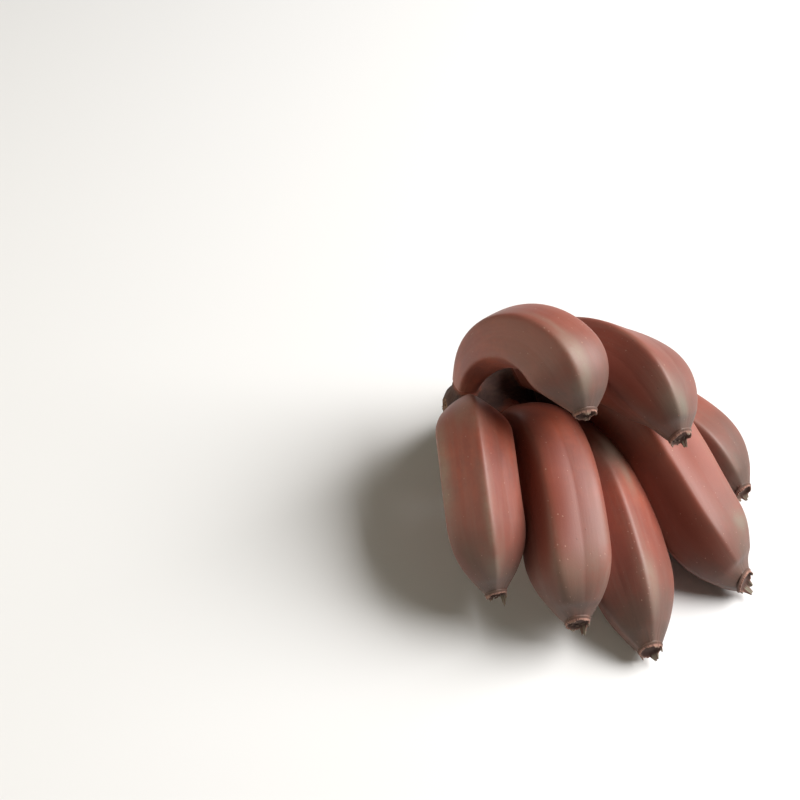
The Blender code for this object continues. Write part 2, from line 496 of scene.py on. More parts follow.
@dataclass(frozen=True)
class Finger:
    """One finger: its middle line in millimetres, and its ridges in degrees.

    Heading 0 is toward the viewer and 90 is right. Angles round the finger start at its upper
    side and grow toward the right of its way. Each tooth is a dried point that stands on the
    lip of the blossom end: its angle, its height in millimetres and half its width in degrees.
    """

    name: str
    root: Triple
    tip: Triple
    leaves: Pair
    arrives: Pair
    girth: float
    roll: float
    twist: float
    handles: Pair
    taper: float = 0.70
    shoulder: float = 0.28
    softness: float = 4.0
    seed: int = 1
    patches: tuple[Patch, ...] = ()
    teeth: tuple[Triple, ...] = ()
    tilt: float = 20.0


@dataclass(frozen=True)
class Growth:
    """Rules that all seven fingers share, with the girth in millimetres.

    The section is five-sided, and its mean radius is a share of the radius at its corners. A run
    is the stretch of the middle line over which something comes or goes. The skin step sets the
    fingers apart in the patterns on their skin, in metres.
    """

    girth: float = 43.0
    neck_share: float = 0.38
    neck_end: float = 0.05
    shoulder_power: float = 0.8
    taper_power: float = 2.2
    tip_share: float = 0.31
    root_flare: float = 0.30
    root_flare_run: float = 0.03
    ridges: int = 5
    ridge_share: float = 0.85
    ridge_strengths: tuple[float, ...] = (1.0, 0.75, 0.9, 0.6, 0.85)
    ridge_neck_share: float = 0.45
    ridge_neck_run: Pair = (0.05, 0.30)
    ridge_tip_share: float = 0.55
    ridge_tip_run: Pair = (0.80, 1.0)
    crest_angles: Pair = (0.02, 0.26)
    section_mean: float = 0.87
    wave_scale: float = 28.0
    furrow_scale: float = 190.0
    furrow_stretch: float = 0.16
    pucker_scale: float = 330.0
    pucker_stretch: float = 0.10
    pucker_tip_run: Pair = (0.86, 1.0)
    pucker_neck_run: Pair = (0.06, 0.24)
    curve_steps: int = 801
    skin_step: float = 0.5
    rings: int = 170
    around: int = 160


GROWTH = Growth()

# Patches of the deep red tone and the brown tone are painted shade: they darken facets that face away from
# the light, tops where the light is strongest and lit spots near the tips.
FINGERS = (
    Finger("front_1", (-88.0, 122.5, 45.0), (-75.5, 19.5, 29.0), (4, 44), (14, -34), 0.87, -3, 0,
           (0.46, 0.42), shoulder=0.34, seed=1,
           patches=(Patch(0.46, 65, 0.20, 13, 0.75, Tone.GREEN), Patch(0.90, 4, 0.10, 20, 0.8),
                    Patch(0.72, 0, 0.20, 6, 0.55), Patch(0.84, 44, 0.07, 14, 0.25, Tone.GREEN),
                    Patch(0.29, 8, 0.09, 40, 0.40), Patch(1.0, 0, 0.10, 150, 0.5),
                    Patch(0.86, 46, 0.12, 34, 0.8, Tone.BROWN)),
           teeth=((-128, 4.4, 24), (-86, 1.6, 18), (150, 1.2, 16), (60, 0.7, 20)), tilt=15.0),
    Finger("front_2", (-76.5, 118.0, 34.5), (-36.0, 6.0, 25.0), (78, 27), (8, -30), 0.98, 7, 0,
           (0.38, 0.50), taper=0.74, shoulder=0.34, softness=9.0, seed=2,
           patches=(Patch(0.88, -6, 0.10, 22, 0.8), Patch(0.74, 6, 0.13, 9, 0.45),
                    Patch(0.84, -42, 0.10, 22, 0.4), Patch(1.0, 0, 0.09, 150, 0.45),
                    Patch(0.58, -4, 0.26, 20, 1.0, Tone.DEEP), Patch(0.62, 24, 0.32, 20, 0.9, Tone.DEEP),
                    Patch(0.93, -8, 0.09, 40, 0.7, Tone.BROWN)),
           teeth=((-163, 3.8, 22), (-120, 1.7, 15), (138, 1.0, 16), (20, 0.6, 25)), tilt=23.0),
    Finger("front_3", (-64.5, 128.5, 30.2), (0.5, -1.5, 11.0), (64, 8), (14, -14), 0.98, 68, 0,
           (0.40, 0.50), taper=0.72, shoulder=0.38, seed=3,
           patches=(Patch(0.37, -24, 0.08, 25, 1.0), Patch(0.45, -30, 0.08, 11, 0.7),
                    Patch(0.85, -14, 0.13, 12, 0.6), Patch(1.0, 0, 0.08, 150, 0.5),
                    Patch(0.92, -54, 0.12, 28, 0.8, Tone.BROWN), Patch(0.92, 34, 0.10, 30, 0.6, Tone.BROWN)),
           teeth=((-150, 2.9, 24), (120, 2.0, 14), (-70, 1.9, 20), (-20, 0.8, 18)), tilt=14.0),
    Finger("front_4", (-48.0, 134.5, 39.0), (52.5, 36.0, 12.0), (92, 20), (50, -14), 0.99, -54, -25,
           (0.48, 0.36), taper=0.76, shoulder=0.40, softness=3.0, seed=4,
           patches=(Patch(0.84, -42, 0.05, 17, 0.8, Tone.GREEN), Patch(0.93, -30, 0.06, 24, 0.6),
                    Patch(0.97, 12, 0.05, 30, 0.4), Patch(1.0, 0, 0.06, 150, 0.45),
                    Patch(0.52, -16, 0.16, 26, 0.7, Tone.DEEP), Patch(0.75, 38, 0.30, 26, 0.9, Tone.DEEP),
                    Patch(0.90, -22, 0.10, 34, 0.8, Tone.BROWN)),
           teeth=((178, 3.6, 22), (-150, 1.8, 16), (110, 1.4, 16), (-80, 0.9, 20)), tilt=24.0),
    Finger("front_5", (-42.5, 137.0, 22.5), (60.5, 90.0, 13.5), (102, 2), (30, -10), 0.88, 18, 0,
           (0.46, 0.46), seed=5,
           patches=(Patch(0.92, 8, 0.06, 22, 0.6), Patch(1.0, 0, 0.09, 150, 0.45),
                    Patch(0.84, -20, 0.22, 40, 0.8, Tone.BROWN)),
           teeth=((-150, 2.6, 24), (160, 1.6, 18), (80, 1.0, 18)), tilt=9.0),
    Finger("back_1", (-88.0, 127.0, 45.0), (-34.0, 80.0, 96.0), (175, 84), (11, -27), 0.91, -24, 10,
           (0.70, 0.56), taper=0.76, shoulder=0.86, softness=5.0, seed=6,
           patches=(Patch(0.86, -106, 0.11, 14, 1.0), Patch(0.94, -92, 0.05, 18, 0.8, Tone.GREEN),
                    Patch(0.71, -109, 0.12, 6, 0.4), Patch(1.0, 0, 0.07, 150, 0.55)),
           teeth=((170, 1.0, 20), (-100, 1.2, 22), (95, 0.9, 20)), tilt=9.0),
    Finger("back_2", (-68.0, 139.0, 44.5), (15.0, 80.5, 76.0), (104, 32), (22, -32), 0.93, -42, 50,
           (0.46, 0.40), softness=4.0, seed=7,
           patches=(Patch(0.925, -38, 0.045, 15, 1.0, Tone.GREEN), Patch(0.90, -14, 0.08, 26, 0.6),
                    Patch(1.0, 0, 0.07, 150, 0.5), Patch(0.80, 20, 0.24, 24, 0.95, Tone.DEEP)),
           teeth=((-172, 3.2, 20), (-60, 1.2, 18), (100, 0.9, 18)), tilt=24.0),
)


def aim(heading: float, rise: float) -> np.ndarray:
    """Unit direction from a heading and a rise in degrees."""
    turn = math.radians(heading)
    lift = math.radians(rise)
    return np.array([math.sin(turn) * math.cos(lift), -math.cos(turn) * math.cos(lift), math.sin(lift)])


@dataclass
class Rail:
    """Middle line of a finger, with the way it heads and two vectors across it."""

    points: np.ndarray
    heads: np.ndarray
    up: np.ndarray
    across: np.ndarray
    shares: np.ndarray
    length: float

    @classmethod
    def of(cls, finger: Finger, rings: int) -> "Rail":
        """Follow a finger's cubic curve in even steps of its length, closer at the ends.

        Args:
            finger: The finger.
            rings: Number of points wanted.

        Returns:
            The middle line.
        """
        root = np.array(finger.root) * MM
        tip = np.array(finger.tip) * MM
        chord = np.linalg.norm(tip - root)
        second = root + aim(*finger.leaves) * chord * finger.handles[0]
        third = tip - aim(*finger.arrives) * chord * finger.handles[1]
        t = np.linspace(0.0, 1.0, GROWTH.curve_steps)[:, None]
        curve = (1 - t) ** 3 * root + 3 * (1 - t) ** 2 * t * second
        curve = curve + 3 * (1 - t) * t * t * third + t ** 3 * tip
        slope = (1 - t) ** 2 * (second - root) + 2 * (1 - t) * t * (third - second) + t * t * (tip - third)
        run = np.concatenate([[0.0], np.cumsum(np.linalg.norm(np.diff(curve, axis=0), axis=1))])
        even = np.linspace(0.0, 1.0, rings)
        shares = 0.5 * even + 0.25 * (1.0 - np.cos(math.pi * even))
        wanted = shares * run[-1]
        points, heads = (np.stack([np.interp(wanted, run, line[:, k]) for k in range(3)], axis=1)
                         for line in (curve, slope))
        heads /= np.linalg.norm(heads, axis=1)[:, None]
        up = np.zeros_like(heads)
        start = np.array([0.0, 0.0, 1.0])
        for i, head in enumerate(heads):
            carried = (up[i - 1] if i else start)
            carried = carried - head * (carried @ head)
            up[i] = carried / np.linalg.norm(carried)
        return cls(points, heads, up, np.cross(heads, up), shares, float(run[-1]))


def finger_form_tree() -> NodeTree:
    """Tree that gives a finger its girth, its five ridges and its small unevenness.

    Returns:
        The geometry tree. It starts from a grid whose points know their place on the middle line.
    """
    board, shape, finish = Board.shaper("finger_form")
    girth, neck, tip, ridge_share = board.numbers(
        girth=GROWTH.girth * MM, neck_share=GROWTH.neck_share, tip_share=GROWTH.tip_share,
        ridge_share=GROWTH.ridge_share)
    shoulder, taper, softness, roll, twist = board.numbers(
        shoulder_end=0.28, taper_start=0.70, ridge_softness=0.07, roll=0.0, twist=0.0)
    wave, furrow, pucker = board.numbers(wave_depth=0.0004, furrow_depth=0.0001, pucker_depth=0.0003)
    share = board.named("share")
    angle = board.named("angle")
    rim = board.named("rim")
    skin = board.named_vector("skin")

    swell = board.smooth(share, GROWTH.neck_end, shoulder) ** GROWTH.shoulder_power
    width = neck + (1.0 - neck) * swell
    ease = board.ramp(share, taper, 1.0)
    width = width * (1.0 - (1.0 - tip) * ease ** GROWTH.taper_power)
    flare = board.maths("EXPONENT", share * (-1.0 / GROWTH.root_flare_run))
    width = width * (1.0 + GROWTH.root_flare * flare)

    facet = 2.0 * math.pi / GROWTH.ridges
    place = (angle - roll - twist * (share - 0.5)) / facet
    nearest = board.maths("ROUND", place)
    offset = place - nearest
    from_ridge = board.maths("ABSOLUTE", offset) * facet
    softened = board.maths("SQRT", from_ridge * from_ridge + softness * softness) - softness
    flat = (math.cos(facet / 2.0) / GROWTH.section_mean) / board.maths("COSINE", facet / 2.0 - softened)
    wave_in = board.maths("COSINE", offset * math.pi)
    blend = wave_in * wave_in * 0.5

    def strength_at(index: Field) -> Field:
        """Strength of the ridge with this number."""
        turned = board.maths("FLOORED_MODULO", index + 0.25, float(GROWTH.ridges))
        total: Value = 0.0
        for number, strength in enumerate(GROWTH.ridge_strengths):
            here = board.maths("COMPARE", turned, number + 0.25, 0.3)
            total = total + here * strength
        return total

    own = strength_at(nearest)
    beside = strength_at(nearest + board.maths("SIGN", offset))
    strength = own * (0.5 + blend) + beside * (0.5 - blend)
    past_neck = board.smooth(share, *GROWTH.ridge_neck_run)
    fade = GROWTH.ridge_neck_share + (1.0 - GROWTH.ridge_neck_share) * past_neck
    fade = fade * (1.0 - (1.0 - GROWTH.ridge_tip_share) * board.smooth(share, *GROWTH.ridge_tip_run))
    factor = ridge_share * strength * fade * (flat - 1.0)

    on_rim = board.maths("GREATER_THAN", rim, 0.001)
    factor = 1.0 + factor * (1.0 - on_rim)
    radius = girth * 0.5 * width * factor * (on_rim * rim + (1.0 - on_rim))

    broad = board.noise(skin, GROWTH.wave_scale, detail=1.0)
    ripple = board.noise(skin, GROWTH.furrow_scale, detail=2.0, stretch=GROWTH.furrow_stretch)
    near_tip = board.smooth(share, *GROWTH.pucker_tip_run)
    near_neck = 1.0 - board.smooth(share, *GROWTH.pucker_neck_run)
    folds = board.noise(skin, GROWTH.pucker_scale, detail=1.0, stretch=GROWTH.pucker_stretch)
    sunk = wave * (0.25 + 0.75 * broad) + furrow * ripple
    sunk = sunk + pucker * (near_tip + near_neck * 0.8) * folds
    radius = radius - sunk * (1.0 - on_rim * 0.6)

    sideways = board.scaled(board.named_vector("up"), board.maths("COSINE", angle) * radius)
    deepways = board.scaled(board.named_vector("across"), board.maths("SINE", angle) * radius)
    spoke = board.vector("ADD", sideways, deepways)
    lift = board.node("ShaderNodeVectorMath", {0: spoke, 1: board.named_vector("upward")}, output="Value",
                      operation="DOT_PRODUCT")
    slanted = board.vector("SUBTRACT", spoke, board.scaled(board.named_vector("slant"), lift))
    spot = board.vector("ADD", board.named_vector("middle"), slanted)
    placed = board.moved(shape, position=spot)
    crest = (1.0 - board.smooth(from_ridge, *GROWTH.crest_angles)) * strength
    marked = board.node("GeometryNodeStoreNamedAttribute",
                        {"Geometry": placed, "Name": "ridge", "Value": crest}, domain="POINT")
    return board.dressed(marked, finish)


def dried_flaps_tree() -> NodeTree:
    """Tree that makes the ring of dried flaps and the broken stub at a blossom end.

    Returns:
        The geometry tree. The flaps stand round +Z and are then turned and moved into place.
    """
    board, _, finish = Board.shaper("dried_flaps")
    count, seed, ring, length, width, thick = board.numbers(
        count=9, seed=1, ring_radius=0.004, flap_length=0.003, flap_width=0.0024, flap_thickness=0.0007)
    splay, wild, stub_length, stub_width = board.numbers(
        splay=0.2, wildness=0.5, stub_length=0.004, stub_width=0.0034)
    centre = board.gets("Centre", Socket.VECTOR)
    facing = board.gets("Facing", Socket.VECTOR)

    where = board.node("GeometryNodeInputPosition", {})
    height = board.part(where, 2)
    bend = 0.35
    wobble_scale = 900.0
    wobble_depth = 0.0009
    curl = height * height * length * bend
    flap_spot = board.combine(board.part(where, 0) * width, board.part(where, 1) * thick + curl,
                              height * length)
    flap = board.moved(board.cone(vertices=7, sides=5, fills=1, top=0.06), position=flap_spot)

    circle = board.node("GeometryNodeMeshCircle", {"Vertices": count, "Radius": ring})
    turn = board.maths("ARCTAN2", board.part(where, 1), board.part(where, 0)) - math.pi / 2.0
    lean = splay * -1.0 + wild * board.chance(-1.0, 1.0, seed + 11)
    turned = board.combine(lean, board.chance(-0.25, 0.25, seed + 23),
                           turn + board.chance(-0.3, 0.3, seed + 31))
    grown = board.combine(board.chance(0.7, 1.3, seed + 57), 1.0, board.chance(0.45, 1.15, seed + 43))
    flaps = board.copies(circle, flap, turned, grown)

    gnarl = board.noise(board.vector("ADD", where, board.combine(seed * 3.7, 0.0, 0.0)), 3.1, detail=2.0)
    swollen = stub_width * (0.55 + 0.9 * gnarl)
    bent = height * height * stub_length * -bend
    jag = board.noise(board.vector("ADD", where, board.combine(0.0, seed * 5.3, 0.0)), 5.0, detail=0.0)
    rough_top = height * stub_length * (0.7 + 0.6 * jag)
    trunk_spot = board.combine(board.part(where, 0) * swollen,
                               board.part(where, 1) * swollen + bent, rough_top)
    stub = board.moved(board.cone(vertices=12, sides=9, fills=2, top=0.22), position=trunk_spot)

    both = board.node("GeometryNodeJoinGeometry", {0: flaps})
    board.plug(stub, both.socket.node.inputs[0])
    placed = board.node("GeometryNodeTransform", {"Geometry": board.solid(both), "Translation": centre,
                                                  "Rotation": facing})
    wobble = board.noise(where, wobble_scale, detail=1.0).beside("Color")
    shift = board.scaled(board.vector("SUBTRACT", wobble, (0.5, 0.5, 0.5)), wobble_depth)
    return board.dressed(board.moved(placed, offset=shift), finish)


def specks_tree() -> NodeTree:
    """Tree that scatters small raised specks over a surface.

    Returns:
        The geometry tree. Only the specks are left, and the surface goes.
    """
    board, shape, finish = Board.shaper("raised_specks")
    density, size, lift, mask, seed = board.numbers(density=9000.0, size=0.00027, lift=0.3, mask_low=0.5,
                                                    seed=1)
    where = board.named_vector("skin")
    crowd = board.smooth(board.noise(where, scale=60.0, detail=1.0), mask, mask + 0.15)
    share = board.named("share")
    inside = board.smooth(share, 0.12, 0.3) * (1.0 - board.smooth(share, 0.95, 0.99))
    grown = board.chance(0.35, 1.0, seed)
    ball = board.node("GeometryNodeMeshIcoSphere", {"Radius": 1.0, "Subdivisions": 1})
    sizes = board.combine(grown * size, grown * size, grown * size * lift)
    return board.dressed(board.scattered(shape, density * crowd * inside, seed, ball, sizes), finish)


def fibre_ends_tree() -> NodeTree:
    """Tree that sets the ends of torn fibres on the cut face of the crown.

    Returns:
        The geometry tree. Only the fibres are left, and the crown goes.
    """
    board, shape, finish = Board.shaper("fibre_ends")
    density, length, width, seed = board.numbers(density=200000.0, length=0.001, width=0.0005, seed=1)
    crowd = density * board.smooth(board.named("cut"), 0.5, 0.9)
    sizes = board.combine(width * board.chance(0.5, 1.2, seed + 3), width * board.chance(0.5, 1.2, seed + 5),
                          length * board.chance(0.2, 1.0, seed + 7))
    lean = board.combine(board.chance(-0.5, 0.5, seed + 11), board.chance(-0.5, 0.5, seed + 13),
                         board.chance(0.0, 6.28, seed + 17))
    fibre = board.cone(vertices=6, sides=2, fills=1, top=0.3)
    stuck = board.scattered(shape, crowd, seed, fibre, sizes)
    leaning = board.node("GeometryNodeRotateInstances", {"Instances": stuck, "Rotation": lean})
    return board.dressed(leaning, finish)


def crown_relief_tree() -> NodeTree:
    """Tree that gives the crown its bark-like furrows and roughens its cut face.

    Returns:
        The geometry tree.
    """
    board, shape, finish = Board.shaper("crown_relief")
    furrow, rough = board.numbers(furrow_depth=0.0005, cut_depth=0.0016)
    cut = board.named("cut")
    normal = board.node("GeometryNodeInputNormal", {})
    skin = board.named_vector("skin")
    lines = board.noise(skin, scale=260.0, stretch=0.22)
    torn = board.noise(skin, scale=520.0, roughness=0.6, stretch=0.5)
    sunk = furrow * lines * (1.0 - cut) + rough * cut * (0.35 + 0.65 * torn)
    return board.dressed(board.moved(shape, offset=board.scaled(normal, sunk * -1.0)), finish)


@dataclass(frozen=True)
class BlossomEnd:
    """The broken lip, the cup inside it and the dried stub where the flower sat.

    Each row of the profile is a ring: its radius as a share of the tip's, its reach past the
    tip in millimetres, and how much of the lip's raggedness and teeth it takes on.
    """

    profile: tuple[Triple, ...] = (
        (1.03, 0.20, 0.00), (1.04, 0.50, 0.00), (1.02, 0.80, 0.02), (0.98, 1.05, 0.05),
        (0.95, 1.25, 0.12), (0.94, 1.50, 0.35), (0.95, 1.75, 0.70), (0.93, 1.95, 0.95),
        (0.89, 2.02, 1.00), (0.85, 1.85, 0.80), (0.82, 1.50, 0.45), (0.78, 1.00, 0.15),
        (0.70, 0.60, 0.00), (0.52, 0.45, 0.00), (0.32, 0.50, 0.00), (0.10, 0.55, 0.00),
    )
    slant_start: float = 0.93
    ragged: float = 0.60
    uneven: float = 0.05
    lobes: tuple[int, ...] = (2, 3, 5, 9, 14, 22, 31)
    tear: float = 0.38
    tear_lobes: int = 3
    tear_seed: int = 50
    blunt: float = 2.4
    curl: float = 0.04
    dry_height: float = 2.0
    seat: float = 0.3
    stub_length: float = 2.0
    stub_width: float = 3.2
    flap_length: float = 1.9
    flap_width: float = 2.0
    flap_ring: float = 0.60
    flaps: int = 8

    def jag(self, angles: np.ndarray, seed: int) -> np.ndarray:
        """Uneven height of the lip round its circle, from -1 to 1."""
        draw = np.random.default_rng(seed)
        total = np.zeros_like(angles)
        for lobes in self.lobes:
            total += np.cos(lobes * angles + draw.uniform(0, 2 * math.pi)) / math.sqrt(lobes)
        return total / np.abs(total).max()

    def teeth(self, finger: Finger, angles: np.ndarray) -> np.ndarray:
        """Height of the dried points above the lip, in millimetres."""
        tallest = np.zeros_like(angles)
        torn = 1.0 + self.tear * self.jag(angles * self.tear_lobes, finger.seed + self.tear_seed)
        for angle, height, half_width in finger.teeth:
            away = np.abs((np.degrees(angles) - angle + 180.0) % 360.0 - 180.0) / half_width
            tallest = np.maximum(tallest, height * np.clip((1.0 - away) * self.blunt, 0.0, 1.0))
        return tallest * torn

    def upward(self, head: np.ndarray) -> np.ndarray:
        """Unit direction across the finger that points up."""
        up = np.array([0.0, 0.0, 1.0]) - head * head[2]
        return up / np.linalg.norm(up)

    def facing(self, head: np.ndarray, tilt: float) -> Triple:
        """Turn that takes +Z to the way the tilted end looks."""
        way = head + self.upward(head) * math.tan(math.radians(tilt))
        way = way / np.linalg.norm(way)
        side = np.cross(way, (0.0, 0.0, 1.0))
        side = side / np.linalg.norm(side)
        turn = Matrix((side, np.cross(side, way), way)).transposed()
        return tuple(turn.to_euler())


@dataclass
class FingerBuilder:
    """Builds one finger: its skin, blossom end and specks."""

    finger: Finger
    end: BlossomEnd
    trees: Trees
    finishes: Finishes
    rail: Union[Rail, None] = None

    def grid(self) -> Mesh:
        """Grid of rings along the middle line whose points know where they belong.

        Returns:
            The mesh that the finger_form tree starts from.
        """
        rail = Rail.of(self.finger, GROWTH.rings)
        self.rail = rail
        end = self.end
        around = GROWTH.around
        angles = np.linspace(0.0, 2.0 * math.pi, around, endpoint=False) + math.radians(self.finger.roll)
        head = rail.heads[-1]
        jag = end.jag(angles, self.finger.seed)
        teeth = end.teeth(self.finger, angles)
        middles = [np.repeat(point[None, :], around, axis=0) for point in rail.points]
        rims = [np.zeros(around)] * GROWTH.rings
        dry = list(rims)
        for share, reach, lip in end.profile:
            lift = reach + (end.ragged * jag + teeth) * lip
            middles.append(rail.points[-1] + head * (lift * MM)[:, None])
            rims.append(share * (1.0 + end.uneven * jag * lip - end.curl * teeth * lip))
            dry.append(np.clip(teeth * lip / end.dry_height, 0.0, 1.0))
        beyond = len(end.profile)
        rows = GROWTH.rings + beyond

        def at_points(values: np.ndarray) -> np.ndarray:
            """Value at each point from one for each ring, with the last kept past the tip."""
            kept = np.concatenate([values, np.repeat(values[-1:], beyond, axis=0)])
            return np.repeat(kept, around, axis=0)

        points = np.concatenate(middles)
        share = at_points(rail.shares)
        angle = np.tile(angles, rows)
        ease = np.clip((share - end.slant_start) / (1.0 - end.slant_start), 0.0, 1.0)
        ease = ease * ease * (3.0 - 2.0 * ease) * math.tan(math.radians(self.finger.tilt))
        past = np.concatenate([np.zeros(GROWTH.rings), np.linspace(0.0, 1.0, beyond)])
        radius = GROWTH.girth * self.finger.girth * MM / 2.0
        depth = rail.length * share + GROWTH.skin_step * self.finger.seed
        values = {
            "middle": points, "up": at_points(rail.up), "across": at_points(rail.across),
            "share": share, "angle": angle, "rim": np.concatenate(rims), "dry": np.concatenate(dry),
            "upward": np.tile(end.upward(head), (len(points), 1)), "slant": ease[:, None] * head,
            "past": np.repeat(past, around),
            "skin": np.stack([radius * np.cos(angle), radius * np.sin(angle), depth], axis=1),
        }
        # One mask for each tone; the deep red and the brown masks carry painted shade.
        for tone in Tone:
            covers = [patch.cover(share, angle) for patch in self.finger.patches if patch.tone == tone]
            values[tone.value] = np.max([np.zeros_like(share), *covers], axis=0)
        mesh = plain_mesh(self.finger.name, points, tube_faces(rows, around))
        for name, value in values.items():
            store(mesh, name, value)
        return mesh

    def peel(self) -> Object:
        """Skin of the finger, shaped by its tree.

        Returns:
            The finished object.
        """
        made = shaped(f"peel_{self.finger.name}", self.grid(), self.trees["finger_form"], {
            "Girth": GROWTH.girth * self.finger.girth * MM,
            "Shoulder end": self.finger.shoulder,
            "Taper start": self.finger.taper,
            "Ridge softness": math.radians(self.finger.softness),
            "Roll": math.radians(self.finger.roll),
            "Twist": math.radians(self.finger.twist),
            "Finish": self.finishes["peel"],
        })
        for name in ("middle", "up", "across", "rim", "upward", "slant"):
            made.data.attributes.remove(made.data.attributes[name])
        return made

    def blossom(self) -> Object:
        """Dried flaps and stub in the cup at the tip.

        Returns:
            The finished object.
        """
        end = self.end
        head = self.rail.heads[-1]
        width = GROWTH.girth * self.finger.girth * GROWTH.tip_share * MM
        start = bpy.data.meshes.new("start")
        return shaped(f"blossom_{self.finger.name}", start, self.trees["dried_flaps"], {
            "Count": end.flaps,
            "Ring radius": width * 0.5 * end.flap_ring,
            "Flap length": end.flap_length * MM,
            "Flap width": end.flap_width * MM,
            "Stub length": end.stub_length * MM,
            "Stub width": end.stub_width * MM,
            "Centre": tuple(self.rail.points[-1] + head * end.seat * MM),
            "Facing": end.facing(head, self.finger.tilt),
            "Seed": self.finger.seed,
            "Finish": self.finishes["dried"],
        })

    def specks(self, peel: Object) -> Object:
        """Small raised specks on the skin.

        Args:
            peel: The skin that they sit on.

        Returns:
            The finished object.
        """
        values = {"Seed": self.finger.seed, "Finish": self.finishes["speck"]}
        return shaped(f"specks_{self.finger.name}", peel.data.copy(), self.trees["specks"], values)


@dataclass(frozen=True)
class Crown:
    """Wedge of old stalk that the necks grow from, in millimetres.

    Its outline lies in the plane across the stalk, an outer arc and a line of cuts, and it is
    repeated in layers along the stalk. The creases round the necks are filled step by step, and
    points that would rise by full_hollow or more move at full pull.
    """

    centre: Triple = (-84.0, 130.0, 12.0)
    across: Triple = (0.935, 0.340, 0.080)
    up: Triple = (0.007, -0.330, 0.940)
    along: Triple = (0.350, -0.880, -0.310)
    arc: Pair = (46.0, 41.0)
    arc_angles: Pair = (-18.0, 104.0)
    arc_steps: int = 30
    cut: tuple[Pair, ...] = ((-14.5, 34.0), (-15.5, 25.0), (-7.0, 2.0), (5.0, -13.0), (13.0, -19.0),
                             (32.0, -22.0), (40.0, -17.0))
    layers: tuple[Pair, ...] = ((-20.5, 0.66), (-18.5, 0.82), (-13.0, 0.95), (-4.0, 1.0), (4.5, 0.96),
                                (9.5, 0.84), (11.5, 0.68))
    voxel: float = 0.75
    neck_rings: int = 34
    neck_swell: float = 1.05
    neck_dive: float = 0.25
    dive_start: float = 0.5
    ease_rounds: tuple[int, int] = (6, 4)
    ease_pull: float = 0.5
    fillet_rounds: int = 70
    fillet_pull: float = 0.8
    full_hollow: float = 0.02
    cut_reach: float = 3.2
    cut_fade: float = 1.6
    stalk_end: float = 0.070
    skin_start: float = 0.110
    tucked: float = 0.72

    def wedge(self) -> Shell:
        """Points and faces of the plain wedge."""
        centre = np.array(self.centre)
        across, up, along = (np.array(v) for v in (self.across, self.up, self.along))
        angles = np.radians(np.linspace(*self.arc_angles, self.arc_steps))
        arc = [(self.arc[0] * math.cos(angle), self.arc[1] * math.sin(angle)) for angle in angles]
        outline = np.array([*arc, *self.cut])
        middle = outline.mean(axis=0)
        points = []
        for reach, size in self.layers:
            for x, y in (outline - middle) * size + middle:
                points.append((centre + across * x + up * y + along * reach) * MM)
        return np.array(points), tube_faces(len(self.layers), len(outline))

    def local(self, points: np.ndarray) -> np.ndarray:
        """Places of points across, up and along the stalk, in millimetres."""
        turn = np.array([self.across, self.up, self.along])
        return (points / MM - np.array(self.centre)) @ turn.T

    def resized(self, builder: FingerBuilder, peel: Object, sizes: np.ndarray) -> np.ndarray:
        """Points of the first rings of a skin, each ring scaled about the finger's middle line."""
        rings = points_of(peel.data)[: self.neck_rings * GROWTH.around].reshape(self.neck_rings, -1, 3)
        middles = builder.rail.points[: self.neck_rings][:, None, :]
        return (middles + (rings - middles) * sizes[:, None, None]).reshape(-1, 3)

    def neck(self, builder: FingerBuilder, peel: Object) -> Shell:
        """First rings of a finger, closed, and drawn in so that their end dives under its skin.

        Args:
            builder: The finger's builder, which has its middle line.
            peel: The finger's finished skin.

        Returns:
            Points and faces.
        """
        shares = builder.rail.shares[: self.neck_rings]
        start = self.dive_start * shares[-1]
        dive = np.clip((shares - start) / (shares[-1] - start), 0.0, 1.0)
        points = self.resized(builder, peel, self.neck_swell - self.neck_dive * dive ** 1.5)
        return points, tube_faces(self.neck_rings, GROWTH.around)

    def fused(self, builders: list[FingerBuilder], peels: list[Object]) -> Mesh:
        """Wedge and necks joined into one skin of small faces."""
        body = bmesh.new()
        necks = [self.neck(builder, peel) for builder, peel in zip(builders, peels)]
        for points, faces in [self.wedge(), *necks]:
            corners = [body.verts.new(p) for p in points]
            made = [body.faces.new([corners[i] for i in face]) for face in faces]
            bmesh.ops.recalc_face_normals(body, faces=made)
        mesh = bpy.data.meshes.new("crown_start")
        body.to_mesh(mesh)
        body.free()
        start = link_object("crown_start", mesh)
        shrink = start.modifiers.new("fuse", "REMESH")
        shrink.mode = "VOXEL"
        shrink.voxel_size = self.voxel * MM
        result = evaluated(start)
        bpy.data.objects.remove(start, do_unlink=True)
        return result

    def soften(self, mesh: Mesh) -> None:
        """Fill the creases between the necks and the wedge, and ease the wedge's edges.

        Args:
            mesh: The fused skin, whose points are moved.
        """
        points = points_of(mesh)
        edges = np.empty(len(mesh.edges) * 2, np.int32)
        mesh.edges.foreach_get("vertices", edges)
        first, last = edges.reshape(-1, 2).T
        count = np.bincount(edges, minlength=len(points))[:, None]
        body = bmesh.new()
        body.from_mesh(mesh)
        bmesh.ops.triangulate(body, faces=body.faces[:])
        triangles = np.array([[v.index for v in f.verts] for f in body.faces])
        body.free()

        def step(pull: float, only_hollows: bool) -> None:
            """Move each point toward the middle of its neighbours."""
            nonlocal points
            total = np.zeros_like(points)
            for k in range(3):
                total[:, k] += np.bincount(first, points[last, k], len(points))
                total[:, k] += np.bincount(last, points[first, k], len(points))
            move = total / count - points
            if only_hollows:
                a, b, c = (points[triangles[:, k]] for k in range(3))
                cross = np.cross(b - a, c - a)
                normal = np.zeros_like(points)
                for k in range(3):
                    for j in range(3):
                        normal[:, j] += np.bincount(triangles[:, k], cross[:, j], len(points))
                normal /= np.maximum(np.linalg.norm(normal, axis=1), 1e-20)[:, None]
                outward = np.einsum("ij,ij->i", move, normal)
                move = move * np.clip(outward / (self.full_hollow * MM), 0.0, 1.0)[:, None]
            points = points + move * pull

